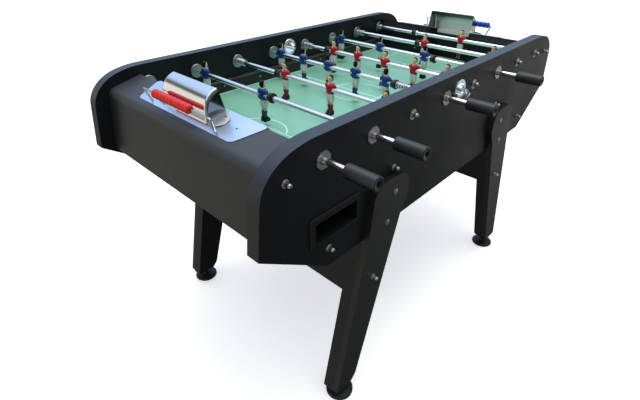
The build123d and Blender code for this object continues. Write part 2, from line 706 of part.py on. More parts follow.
def nut_solid():
    """Washer and domed nut over the end of an inner rod."""
    with BuildPart() as b:
        with BuildSketch(Plane.XY):
            with BuildLine():
                Polyline((0, 4.0), (ROD_R, 4.0), (ROD_R, 0), (9.6, 0), (9.6, 1.2), (8.8, 2.0), (6.6, 2.0), (6.6, 9.5))
                Spline((6.6, 9.5), (4.6, 14.0), (0, 16.0), tangents=[(0, 1.0), (-1.0, 0)])
                Line((0, 16.0), (0, 4.0))
            make_face()
        revolve(axis=Axis.Y, revolution_arc=360)
    return b.part


panel_bolt = bolt_solid(4.0, 34.0, 9.3, 5.8, 17.5)
leg_bolt = bolt_solid(4.0, 52.0, 9.3, 5.8, 17.5)
leg_cap = bolt_solid(4.0, 52.0, 9.3, 0.0, 3.4)
rod_nut = nut_solid()
TURN = {1: Rot(0, 0, 0), -1: Rot(0, 0, 180)}
with BuildPart() as fasteners:
    for s in (-1, 1):
        for bx, bz in PANEL_BOLTS:
            add(Pos(-s * bx, s * OUTER, bz) * TURN[s] * panel_bolt)
        for k, (bx, bz) in enumerate(LEG_BOLTS):
            add(Pos(-s * bx, s * (OUTER + LEG_T), bz) * TURN[s] * (leg_cap if k in LEG_CAPS else leg_bolt))
    for i in range(8):
        add(Pos(ROD_X[i], -HANDLE[i] * OUTER, ROD_Z) * TURN[-HANDLE[i]] * rod_nut)
save(fasteners, "fasteners")
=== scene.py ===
import bpy, bmesh, math
from mathutils import Vector, Matrix


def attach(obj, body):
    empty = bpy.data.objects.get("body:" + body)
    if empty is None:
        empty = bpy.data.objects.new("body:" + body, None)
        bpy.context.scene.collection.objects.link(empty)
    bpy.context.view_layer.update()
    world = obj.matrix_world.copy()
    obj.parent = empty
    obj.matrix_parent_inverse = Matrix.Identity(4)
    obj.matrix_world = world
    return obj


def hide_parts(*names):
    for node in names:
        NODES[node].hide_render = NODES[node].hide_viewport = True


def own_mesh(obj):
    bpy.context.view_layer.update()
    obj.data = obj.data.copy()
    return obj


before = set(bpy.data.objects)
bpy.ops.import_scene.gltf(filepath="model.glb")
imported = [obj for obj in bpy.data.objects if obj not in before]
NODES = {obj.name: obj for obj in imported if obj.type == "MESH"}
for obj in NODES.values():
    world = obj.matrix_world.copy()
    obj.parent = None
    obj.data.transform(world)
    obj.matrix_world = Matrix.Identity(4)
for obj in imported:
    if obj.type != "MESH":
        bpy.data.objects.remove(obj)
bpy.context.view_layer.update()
MM = 0.001

# ------------------------------------------------------------------ measures shared with the CAD, in millimetres
ROD_X = [(i - 3.5) * 162.0 for i in range(8)]
ROD_Z = 839.0
HANDLE = [-1, -1, 1, -1, 1, -1, 1, 1]
MEN_Y = [[36], [287, 6], [95, -97, -290], [295, 178, 61, -56, -173],
         [183, 68, -50, -167, -284], [288, 91, -107], [-6, -284], [-78]]
BUMPER_Y = [-189, -27, 123.5, -203.5, 212, -141, 22.5, 142]
FIELD_Z = 747.0
END_X, SLOPE = 589.0, 0.24
TUBE_R = 7.5


def slope_z(x):
    return 869.0 - SLOPE * (x - END_X)


# ------------------------------------------------------------------ materials
def new_mat(name):
    m = bpy.data.materials.new(name)
    m.use_nodes = True
    nt = m.node_tree
    bsdf = next(n for n in nt.nodes if n.type == "BSDF_PRINCIPLED")
    return m, nt, bsdf


def link(nt, a, b):
    nt.links.new(a, b)


def node(nt, kind, **values):
    n = nt.nodes.new(kind)
    for k, v in values.items():
        if k.startswith("_"):
            setattr(n, k[1:], v)
        else:
            n.inputs[k.replace("_", " ")].default_value = v
    return n


def lin(c):
    """sRGB 0-255 to linear."""
    out = []
    for v in c:
        v = v / 255.0
        out.append(v / 12.92 if v <= 0.04045 else ((v + 0.055) / 1.055) ** 2.4)
    return tuple(out) + (1.0,)


def surface(name, dark, light, rough=(0.4, 0.55), grain=900.0, bump=0.1, bump_d=0.0002, large=6.0,
            metallic=0.0, specular=0.5, coat=0.0, coat_rough=0.1, stretch=(1, 1, 1), detail=4.0):
    """A finish whose colour drifts between dark and light, with fine grain in roughness and bump."""
    m, nt, b = new_mat(name)
    tc = node(nt, "ShaderNodeTexCoord")
    mp = node(nt, "ShaderNodeMapping")
    mp.inputs["Scale"].default_value = stretch
    link(nt, tc.outputs["Object"], mp.inputs["Vector"])
    n1 = node(nt, "ShaderNodeTexNoise", Scale=large, Detail=detail, Roughness=0.55)
    link(nt, mp.outputs["Vector"], n1.inputs["Vector"])
    n2 = node(nt, "ShaderNodeTexNoise", Scale=grain, Detail=3.0, Roughness=0.6)
    link(nt, mp.outputs["Vector"], n2.inputs["Vector"])
    mix1 = node(nt, "ShaderNodeMath", _operation="MULTIPLY_ADD")
    mix1.inputs[1].default_value = 0.35
    link(nt, n2.outputs["Fac"], mix1.inputs[0])
    sub = node(nt, "ShaderNodeMath", _operation="MULTIPLY")
    sub.inputs[1].default_value = 0.65
    link(nt, n1.outputs["Fac"], sub.inputs[0])
    link(nt, sub.outputs[0], mix1.inputs[2])
    ramp = node(nt, "ShaderNodeValToRGB")
    ramp.color_ramp.elements[0].position = 0.32
    ramp.color_ramp.elements[1].position = 0.68
    ramp.color_ramp.elements[0].color = dark
    ramp.color_ramp.elements[1].color = light
    link(nt, mix1.outputs[0], ramp.inputs["Fac"])
    link(nt, ramp.outputs["Color"], b.inputs["Base Color"])
    mr = node(nt, "ShaderNodeMapRange")
    mr.inputs["From Min"].default_value = 0.3
    mr.inputs["From Max"].default_value = 0.7
    mr.inputs["To Min"].default_value = rough[0]
    mr.inputs["To Max"].default_value = rough[1]
    link(nt, n1.outputs["Fac"], mr.inputs["Value"])
    link(nt, mr.outputs["Result"], b.inputs["Roughness"])
    if bump:
        bp = node(nt, "ShaderNodeBump", Strength=bump, Distance=bump_d)
        link(nt, n2.outputs["Fac"], bp.inputs["Height"])
        link(nt, bp.outputs["Normal"], b.inputs["Normal"])
    b.inputs["Metallic"].default_value = metallic
    b.inputs["Specular IOR Level"].default_value = specular
    if coat:
        b.inputs["Coat Weight"].default_value = coat
        b.inputs["Coat Roughness"].default_value = coat_rough
    return m


M_BOARD = surface("black_laminate", (0.0058, 0.0076, 0.0086, 1), (0.0084, 0.0104, 0.0116, 1), rough=(0.42, 0.54),
                  grain=1400, bump=0.14, bump_d=0.00012, large=3.0, specular=0.22)
M_LEG = surface("black_laminate_leg", (0.0215, 0.0220, 0.0212, 1), (0.0275, 0.0281, 0.0272, 1), rough=(0.42, 0.54),
                grain=1400, bump=0.14, bump_d=0.00012, large=3.0, specular=0.34)
# the bluish base colours of trims and end caps are kept in full only on upward faces, as a painted sky sheen
M_TRIM = surface("edge_strip_plastic", (0.0280, 0.0385, 0.0520, 1), (0.0355, 0.0470, 0.0630, 1), rough=(0.32, 0.42),
                 grain=1800, bump=0.10, bump_d=0.0001, large=9.0, specular=0.30)
M_END = surface("grey_laminate", (0.0335, 0.0400, 0.0485, 1), (0.0425, 0.0500, 0.0600, 1), rough=(0.38, 0.48),
                grain=1400, bump=0.14, bump_d=0.00014, large=3.0, specular=0.40)


def shade_by_facing(mat, axis, low, high, span=(0.10, 0.85)):
    """Painted shade: faces square to an axis keep the base colour, and the ramp paints the other faces darker."""
    nt = mat.node_tree
    b = [n for n in nt.nodes if n.type == "BSDF_PRINCIPLED"][0]
    src = b.inputs["Base Color"].links[0].from_socket
    geo = node(nt, "ShaderNodeNewGeometry")
    sep = node(nt, "ShaderNodeSeparateXYZ")
    link(nt, geo.outputs["Normal"], sep.inputs[0])
    r = node(nt, "ShaderNodeValToRGB")
    r.color_ramp.elements[0].position = span[0]
    r.color_ramp.elements[0].color = low
    r.color_ramp.elements[1].position = span[1]
    r.color_ramp.elements[1].color = high
    if axis == "Z":
        link(nt, sep.outputs["Z"], r.inputs["Fac"])
    else:
        size = node(nt, "ShaderNodeMath", _operation="ABSOLUTE")
        link(nt, sep.outputs[axis], size.inputs[0])
        link(nt, size.outputs[0], r.inputs["Fac"])
    mx = node(nt, "ShaderNodeMix", _data_type="RGBA", _blend_type="MULTIPLY")
    mx.inputs[0].default_value = 1.0
    link(nt, src, mx.inputs[6])
    link(nt, r.outputs["Color"], mx.inputs[7])
    link(nt, mx.outputs[2], b.inputs["Base Color"])


# painted light and shade: the ramps stay within 0 to 1, so the base colours are the paler faces; trim and end cap tops
# keep a painted sky sheen, while their vertical faces and the leg plates' faces not square to Y are painted darker
shade_by_facing(M_TRIM, "Z", (0.16, 0.158, 0.15, 1), (1.0, 1.0, 1.0, 1))
shade_by_facing(M_END, "Z", (0.33, 0.325, 0.305, 1), (1.0, 1.0, 1.0, 1))
shade_by_facing(M_LEG, "Y", (0.28, 0.27, 0.26, 1), (1.0, 1.0, 1.0, 1), (0.30, 0.80))
M_FIELD = surface("mint_laminate", lin((121, 181, 154)), lin((129, 189, 162)), rough=(0.28, 0.36),
                  grain=700, bump=0.03, bump_d=0.0001, large=2.5, specular=0.9)
M_LINE = surface("line_print", lin((188, 230, 214)), lin((200, 238, 224)), rough=(0.4, 0.5), grain=900, bump=0.03,
                 specular=0.3)
M_BAND = surface("black_band", (0.010, 0.012, 0.012, 1), (0.016, 0.018, 0.018, 1), rough=(0.38, 0.50),
                 grain=1200, bump=0.15, bump_d=0.0002, large=14.0, specular=0.35)
# dark moulding of the return slot frames; on the ball runways the same dark colour is painted shade for the shade
# inside the slots
M_DARK = surface("dark_moulding_and_shade", (0.0055, 0.0060, 0.0064, 1), (0.0090, 0.0095, 0.0100, 1), rough=(0.42, 0.55),
                 grain=1500, bump=0.2, bump_d=0.00015, large=20.0, specular=0.25)
M_CHROME = surface("chrome", (0.80, 0.82, 0.85, 1), (0.87, 0.89, 0.92, 1), rough=(0.07, 0.12), grain=500,
                   bump=0.015, bump_d=0.0001, large=12.0, metallic=1.0)
M_SHEET = surface("chrome_sheet", (0.78, 0.80, 0.83, 1), (0.85, 0.87, 0.90, 1), rough=(0.07, 0.13), grain=260,
                  bump=0.02, bump_d=0.0002, large=9.0, metallic=1.0)
# the plate's pale blue base colour is a painted sky reflection on satin chrome
M_PLATE = surface("satin_plate", (0.57, 0.68, 0.88, 1), (0.63, 0.74, 0.94, 1), rough=(0.27, 0.34), grain=420,
                  bump=0.03, bump_d=0.0001, large=7.0, metallic=1.0)
M_HOOD = surface("hood_sheet", (0.78, 0.80, 0.83, 1), (0.85, 0.87, 0.90, 1), rough=(0.08, 0.14), grain=260,
                 bump=0.02, bump_d=0.0002, large=9.0, metallic=1.0)


def hood_finish_and_shade(mat):
    """Polished outside, satin inside and rougher base tabs. Painted shade and painted dark reflection: the top roll and
    the cheeks inside the hood, a line along the cheeks, and the base tabs beyond their ridge are painted darker.
    """
    nt = mat.node_tree
    b = [n for n in nt.nodes if n.type == "BSDF_PRINCIPLED"][0]
    colour = b.inputs["Base Color"].links[0].from_socket
    roughness = b.inputs["Roughness"].links[0].from_socket
    tc = node(nt, "ShaderNodeTexCoord")
    sep = node(nt, "ShaderNodeSeparateXYZ")
    link(nt, tc.outputs["Object"], sep.inputs[0])

    def calc(op, a, c=None):
        m = node(nt, "ShaderNodeMath", _operation=op)
        for k, v in enumerate((a, c)):
            if v is None:
                continue
            if isinstance(v, (int, float)):
                m.inputs[k].default_value = v
            else:
                link(nt, v, m.inputs[k])
        return m.outputs[0]
    ax = calc("ABSOLUTE", sep.outputs["X"])
    ay = calc("ABSOLUTE", sep.outputs["Y"])
    dx = calc("SUBTRACT", ax, 0.599)
    dz = calc("MAXIMUM", calc("SUBTRACT", sep.outputs["Z"], 0.8835), 0.0)
    d = calc("SQRT", calc("ADD", calc("MULTIPLY", dx, dx), calc("MULTIPLY", dz, dz)))
    inside = calc("MULTIPLY", calc("LESS_THAN", d, 0.0492), calc("LESS_THAN", ay, 0.0962))
    across = calc("MULTIPLY", ay, 5.0)
    # painted shade and painted dark reflection across |y|: a dark line at the cheek, the ridge at full colour, and the
    # tabs painted darker outwards
    tone = node(nt, "ShaderNodeValToRGB")
    while len(tone.color_ramp.elements) < 8:
        tone.color_ramp.elements.new(0.5)
    for e, (y, g) in zip(tone.color_ramp.elements, [
            (0.0, 1.0), (0.0950, 1.0), (0.0966, 0.50), (0.0974, 0.50), (0.0988, 1.0), (0.1050, 0.66), (0.1180, 0.42),
            (0.1320, 0.22)]):
        e.position = y * 5.0
        e.color = (g, g, g, 1)
    link(nt, across, tone.inputs["Fac"])
    m1 = node(nt, "ShaderNodeMix", _data_type="RGBA", _blend_type="MULTIPLY")
    m1.inputs[0].default_value = 1.0
    link(nt, colour, m1.inputs[6])
    link(nt, tone.outputs["Color"], m1.inputs[7])
    roll_shade = node(nt, "ShaderNodeValToRGB")                   # painted shade: the roll at the top of the hood, inside, is painted dark, and the inside below it a warmer grey
    roll_shade.color_ramp.elements[0].position = 0.907
    roll_shade.color_ramp.elements[0].color = (0.80, 0.79, 0.72, 1)
    roll_shade.color_ramp.elements[1].position = 0.925
    roll_shade.color_ramp.elements[1].color = (0.30, 0.29, 0.27, 1)
    link(nt, sep.outputs["Z"], roll_shade.inputs["Fac"])
    # painted shade on the cheeks inside the hood
    cheek = node(nt, "ShaderNodeMix", _data_type="RGBA", _blend_type="MULTIPLY")
    cheek.inputs[7].default_value = (0.42, 0.42, 0.40, 1)
    link(nt, calc("GREATER_THAN", ay, 0.0925), cheek.inputs[0])
    link(nt, roll_shade.outputs["Color"], cheek.inputs[6])
    m2 = node(nt, "ShaderNodeMix", _data_type="RGBA", _blend_type="MULTIPLY")
    link(nt, cheek.outputs[2], m2.inputs[7])
    link(nt, inside, m2.inputs[0])
    link(nt, m1.outputs[2], m2.inputs[6])
    link(nt, m2.outputs[2], b.inputs["Base Color"])
    tab = calc("MULTIPLY", calc("GREATER_THAN", ay, 0.0982), 0.14)
    extra = calc("ADD", calc("MULTIPLY", inside, 0.22), tab)
    link(nt, calc("ADD", roughness, extra), b.inputs["Roughness"])


hood_finish_and_shade(M_HOOD)
# the bent-down chrome lip is painted a pale, mostly non-metal grey, a painted bright reflection
M_LIP = surface("goal_lip_sheet", (0.66, 0.65, 0.62, 1), (0.90, 0.89, 0.86, 1), rough=(0.34, 0.46), grain=260,
                bump=0.05, bump_d=0.0002, large=60.0, metallic=0.15, specular=0.5)
M_WIRE = surface("counter_wire", (0.46, 0.47, 0.49, 1), (0.58, 0.59, 0.61, 1), rough=(0.14, 0.22), grain=500,
                 bump=0.015, bump_d=0.0001, large=12.0, metallic=1.0)
M_TUBE = surface("rod_tube", (0.80, 0.82, 0.85, 1), (0.88, 0.90, 0.93, 1), rough=(0.17, 0.24), grain=500,
                 bump=0.02, bump_d=0.0001, large=12.0, metallic=1.0)
M_ZINC = surface("zinc_plate", (0.34, 0.34, 0.33, 1), (0.48, 0.48, 0.46, 1), rough=(0.26, 0.40), grain=420,
                 bump=0.08, bump_d=0.0002, large=60.0, metallic=1.0)
M_BEARING = surface("bearing_plate", (0.36, 0.35, 0.35, 1), (0.46, 0.45, 0.45, 1), rough=(0.30, 0.42), grain=420,
                    bump=0.08, bump_d=0.0002, large=60.0, metallic=1.0)
M_SPRING = surface("spring_steel", (0.52, 0.53, 0.55, 1), (0.68, 0.69, 0.71, 1), rough=(0.16, 0.26), grain=900,
                   bump=0.03, large=80.0, metallic=1.0)
M_SCREW = surface("dark_screw", (0.008, 0.009, 0.011, 1), (0.014, 0.015, 0.018, 1), rough=(0.36, 0.48), grain=900,
                  bump=0.08, large=80.0, specular=0.3)
M_RUBBER = surface("black_rubber", (0.0055, 0.0062, 0.0062, 1), (0.0100, 0.0110, 0.0110, 1), rough=(0.46, 0.60),
                   grain=1600, bump=0.2, bump_d=0.0002, large=40.0, specular=0.3)
M_SLEEVE = surface("stop_sleeve", (0.012, 0.013, 0.013, 1), (0.018, 0.019, 0.019, 1), rough=(0.32, 0.44),
                   grain=1600, bump=0.12, bump_d=0.0002, large=40.0, specular=0.5)
M_GRIP = surface("grip_plastic", (0.0090, 0.0105, 0.0130, 1), (0.0140, 0.0155, 0.0190, 1), rough=(0.32, 0.42),
                 grain=1500, bump=0.08, bump_d=0.00015, large=30.0, specular=0.45)
M_REDBEAD = surface("red_bead", (0.60, 0.014, 0.010, 1), (0.72, 0.022, 0.016, 1), rough=(0.30, 0.42), grain=300,
                    bump=0.02, large=40.0, specular=0.35)
M_BLUEBEAD = surface("blue_bead", (0.004, 0.050, 0.34, 1), (0.007, 0.075, 0.46, 1), rough=(0.30, 0.42), grain=300,
                     bump=0.02, large=40.0, specular=0.35)
M_BLUESHIRT = surface("shirt_blue", (0.003, 0.036, 0.150, 1), (0.006, 0.052, 0.215, 1), rough=(0.15, 0.24), grain=600,
                      bump=0.05, large=60.0, specular=0.32)
M_REDSHIRT = surface("shirt_red", (0.36, 0.006, 0.012, 1), (0.46, 0.011, 0.019, 1), rough=(0.15, 0.24), grain=600,
                     bump=0.05, large=60.0, specular=0.32)
M_SHORTS = surface("shorts_white", (0.60, 0.64, 0.63, 1), (0.72, 0.75, 0.74, 1), rough=(0.28, 0.40), grain=600,
                   bump=0.05, large=60.0, specular=0.45)
M_SKIN = surface("skin_paint", (0.66, 0.50, 0.24, 1), (0.76, 0.58, 0.29, 1), rough=(0.28, 0.40), grain=600,
                 bump=0.04, large=60.0, specular=0.45)
M_HAIR = surface("hair_paint", (0.0025, 0.0025, 0.0025, 1), (0.005, 0.005, 0.005, 1), rough=(0.34, 0.46), grain=900,
                 bump=0.25, bump_d=0.0003, large=90.0, specular=0.15)
M_SHOE = surface("shoe_black", (0.005, 0.006, 0.007, 1), (0.009, 0.010, 0.011, 1), rough=(0.24, 0.36), grain=600,
                 bump=0.05, large=60.0, specular=0.4)
M_BLUESOCK = surface("sock_blue", (0.004, 0.050, 0.130, 1), (0.007, 0.075, 0.180, 1), rough=(0.28, 0.40), grain=900,
                     bump=0.15, large=60.0, specular=0.35)
M_REDSOCK = surface("sock_red", (0.24, 0.012, 0.010, 1), (0.34, 0.020, 0.016, 1), rough=(0.28, 0.40), grain=900,
                    bump=0.15, large=60.0, specular=0.35)
M_BASIN = surface("goal_lining", (0.014, 0.011, 0.009, 1), (0.026, 0.020, 0.016, 1), rough=(0.45, 0.6), grain=900,
                  bump=0.15, large=14.0, specular=0.25)


def paint(name, *mats):
    o = NODES[name]
    o.data.materials.clear()
    for m in mats:
        o.data.materials.append(m)
    return o


PAINT = {
    "side_panel_front": M_BOARD, "side_panel_rear": M_BOARD, "panel_edge_trims": M_TRIM, "end_caps": M_END,
    "end_walls": M_BOARD, "goal_boxes": M_BASIN, "playfield": M_FIELD, "side_bands": M_BAND, "bottom_boards": M_BOARD,
    # the ball runways take the dark moulding colour as painted shade
    "ball_runways": M_DARK, "leg_plates": M_LEG, "leg_posts": M_BOARD, "leg_cross_boards": M_BOARD,
    "goal_plates": M_PLATE, "goal_hoods": M_HOOD, "counter_wires": M_WIRE, "ball_entry_fittings": M_SHEET,
    "return_slot_frames": M_DARK, "rod_bearings": M_BEARING, "inner_rods": M_CHROME, "buffer_springs": M_SPRING,
    "fasteners": M_ZINC, "counter_beads_left": M_REDBEAD, "counter_beads_right": M_BLUEBEAD,
    "foot_front_left": M_RUBBER, "foot_front_right": M_RUBBER, "foot_rear_left": M_RUBBER, "foot_rear_right": M_RUBBER,
}
for i in range(8):
    n = "rod_%d" % (i + 1)
    PAINT[n + "_tube"] = M_TUBE
    PAINT[n + "_grip"] = M_GRIP
    PAINT[n + "_bumper"] = M_RUBBER
    PAINT[n + "_men"] = M_BLUESHIRT if HANDLE[i] < 0 else M_REDSHIRT
for n, m in PAINT.items():
    paint(n, m)


# ------------------------------------------------------------------ mesh helpers
def make(name, verts, faces, mats, body, face_mats=None, smooth=True, angle=35.0):
    me = bpy.data.meshes.new(name)
    me.from_pydata([tuple(c * MM for c in v) for v in verts], [], faces)
    me.validate()
    for m in mats:
        me.materials.append(m)
    if face_mats:
        for p, k in zip(me.polygons, face_mats):
            p.material_index = k
    bm = bmesh.new()
    bm.from_mesh(me)
    bmesh.ops.recalc_face_normals(bm, faces=bm.faces)
    bm.to_mesh(me)
    bm.free()
    if smooth:
        for p in me.polygons:
            p.use_smooth = True
        me.set_sharp_from_angle(angle=math.radians(angle))
    o = bpy.data.objects.new(name, me)
    bpy.context.scene.collection.objects.link(o)
    if body:
        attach(o, body)
    return o


def lathe(profile, centre, axis="Y", n=40, closed=True):
    """Verts and faces of a profile of (radius, along) turned about an axis through centre."""
    vs, fs = [], []
    m = len(profile)
    for k in range(n):
        a = 2 * math.pi * k / n
        c, s = math.cos(a), math.sin(a)
        for r, t in profile:
            if axis == "Y":
                vs.append((centre[0] + r * c, centre[1] + t, centre[2] + r * s))
            elif axis == "Z":
                vs.append((centre[0] + r * c, centre[1] + r * s, centre[2] + t))
            else:
                vs.append((centre[0] + t, centre[1] + r * c, centre[2] + r * s))
    for k in range(n):
        k2 = (k + 1) % n
        for j in range(m if closed else m - 1):
            j2 = (j + 1) % m
            fs.append((k * m + j, k * m + j2, k2 * m + j2, k2 * m + j))
    return vs, fs


def merge(parts):
    """Joins several (verts, faces) into one."""
    V, F = [], []
    for v, f in parts:
        o = len(V)
        V += v
        F += [tuple(i + o for i in t) for t in f]
    return V, F


def helix(centre, r, wire, y0, y1, turns, n=22, seg=8, lead=0.9):
    """A coil spring along Y with closed end turns."""
    vs, fs = [], []
    steps = int(turns * n)
    for k in range(steps + 1):
        t = k / steps
        a = 2 * math.pi * turns * t
        # closed turns at both ends
        e = lead / turns
        if t < e:
            u = t * 0.25
        elif t > 1 - e:
            u = 1 - (1 - t) * 0.25
        else:
            u = e * 0.25 + (t - e) / (1 - 2 * e) * (1 - 0.5 * e)
        y = y0 + (y1 - y0) * u
        cx, cz = centre[0] + r * math.cos(a), centre[1] + r * math.sin(a)
        for j in range(seg):
            b = 2 * math.pi * j / seg
            rr = wire * math.cos(b)
            vs.append((cx + rr * math.cos(a), y + wire * math.sin(b), cz + rr * math.sin(a)))
    for k in range(steps):
        for j in range(seg):
            j2 = (j + 1) % seg
            fs.append((k * seg + j, k * seg + j2, (k + 1) * seg + j2, (k + 1) * seg + j))
    fs.append(tuple(range(seg)))
    fs.append(tuple(steps * seg + j for j in range(seg)))
    return vs, fs


# ------------------------------------------------------------------ field markings
def flat_band(points_in, points_out, z0, z1, close):
    n = len(points_in)
    vs = [(x, y, z) for z in (z0, z1) for pts in (points_in, points_out) for x, y in pts]
    fs = []
    m = n if close else n - 1
    for k in range(m):
        a, b = k, (k + 1) % n
        fs.append((2 * n + a, 2 * n + b, 3 * n + b, 3 * n + a))        # top
        fs.append((a, n + a, n + b, b))                               # bottom
        fs.append((a, b, 2 * n + b, 2 * n + a))                       # inner side
        fs.append((n + a, 3 * n + a, 3 * n + b, n + b))               # outer side
    if not close:
        for k in (0, n - 1):
            fs.append((k, 2 * n + k, 3 * n + k, n + k))
    return vs, fs


LZ0, LZ1 = FIELD_Z - 0.2, FIELD_Z + 0.25
LW = 4.0


def line(x0, y0, x1, y1, w=LW):
    dx, dy = x1 - x0, y1 - y0
    n = math.hypot(dx, dy)
    px, py = -dy / n * w / 2, dx / n * w / 2
    return flat_band([(x0 + px, y0 + py), (x1 + px, y1 + py)], [(x0 - px, y0 - py), (x1 - px, y1 - py)], LZ0, LZ1, False)


def arc(cx, cy, r, a0, a1, w=LW, n=72):
    close = abs(a1 - a0) > 359.9
    k = n if close else n + 1
    an = [math.radians(a0 + (a1 - a0) * i / n) for i in range(k)]
    return flat_band([(cx + (r - w / 2) * math.cos(a), cy + (r - w / 2) * math.sin(a)) for a in an],
                     [(cx + (r + w / 2) * math.cos(a), cy + (r + w / 2) * math.sin(a)) for a in an], LZ0, LZ1, close)


def disc(cx, cy, r, n=28):
    vs = [(cx + r * math.cos(2 * math.pi * i / n), cy + r * math.sin(2 * math.pi * i / n), z) for z in (LZ0, LZ1) for i in range(n)]
    fs = [tuple(range(n)), tuple(range(n, 2 * n))] + [(i, (i + 1) % n, n + (i + 1) % n, n + i) for i in range(n)]
    return vs, fs


marks = [line(0, -327, 0, 327), arc(0, 0, 89, 0, 360), disc(0, 0, 5)]
for s in (-1, 1):
    marks += [line(s * 408, -197, s * 408, 197), line(s * 408, s * -197, s * 588, s * -197),
              line(s * 408, s * 197, s * 588, s * 197), disc(s * 467, 0, 4.5)]
    d = math.degrees(math.acos((460 - 408) / 98.0))
    marks.append(arc(s * 460, 0, 98, 180 - d, 180 + d) if s > 0 else arc(s * 460, 0, 98, -d, d))
    marks.append(line(-588, s * 324, 588, s * 324, 5.0))
# crossing prints sit a few hundredths of a millimetre apart, so that no two faces coincide
lifts = [0.0, 0.05, 0.10] + [0.0, 0.05, 0.05, 0.10, 0.10, 0.10] * 2
marks = [([(x, y, z + (h if z > FIELD_Z else 0.0)) for x, y, z in v], f) for (v, f), h in zip(marks, lifts)]
V, F = merge(marks)
make("field_markings", V, F, [M_LINE], "root", smooth=False)


# ------------------------------------------------------------------ playing figures
def rings(sections, n=20, cap=True):
    """Closed body from (z, cx, cy, rx, ry, power) cross sections."""
    vs, fs = [], []
    for z, cx, cy, rx, ry, p in sections:
        for k in range(n):
            a = 2 * math.pi * k / n
            c, s = math.cos(a), math.sin(a)
            vs.append((cx + rx * math.copysign(abs(c) ** (2 / p), c), cy + ry * math.copysign(abs(s) ** (2 / p), s), z))
    m = len(sections)
    for j in range(m - 1):
        for k in range(n):
            k2 = (k + 1) % n
            fs.append((j * n + k, j * n + k2, (j + 1) * n + k2, (j + 1) * n + k))
    if cap:
        fs.append(tuple(range(n)))
        fs.append(tuple((m - 1) * n + k for k in range(n)))
    return vs, fs


def ellipsoid(c, r, n=16, m=10, cut=None):
    vs, fs = [], []
    vs.append((c[0], c[1], c[2] - r[2]))
    for j in range(1, m):
        t = -math.pi / 2 + math.pi * j / m
        for k in range(n):
            a = 2 * math.pi * k / n
            vs.append((c[0] + r[0] * math.cos(t) * math.cos(a), c[1] + r[1] * math.cos(t) * math.sin(a), c[2] + r[2] * math.sin(t)))
    vs.append((c[0], c[1], c[2] + r[2]))
    for k in range(n):
        fs.append((0, 1 + (k + 1) % n, 1 + k))
        fs.append((len(vs) - 1, 1 + (m - 2) * n + k, 1 + (m - 2) * n + (k + 1) % n))
    for j in range(m - 2):
        for k in range(n):
            fs.append((1 + j * n + k, 1 + j * n + (k + 1) % n, 1 + (j + 1) * n + (k + 1) % n, 1 + (j + 1) * n + k))
    return vs, fs


def tube_between(points, radii, n=12):
    """Rounded limb along points."""
    vs, fs = [], []
    P = [Vector(p) for p in points]
    for i, p in enumerate(P):
        t = (P[min(i + 1, len(P) - 1)] - P[max(i - 1, 0)]).normalized()
        u = t.cross(Vector((1, 0, 0)))
        if u.length < 0.1:
            u = t.cross(Vector((0, 1, 0)))
        u.normalize()
        w = t.cross(u)
        for k in range(n):
            a = 2 * math.pi * k / n
            q = p + (u * math.cos(a) + w * math.sin(a)) * radii[i]
            vs.append(tuple(q))
    for i in range(len(P) - 1):
        for k in range(n):
            k2 = (k + 1) % n
            fs.append((i * n + k, i * n + k2, (i + 1) * n + k2, (i + 1) * n + k))
    fs.append(tuple(range(n)))
    fs.append(tuple((len(P) - 1) * n + k for k in range(n)))
    return vs, fs


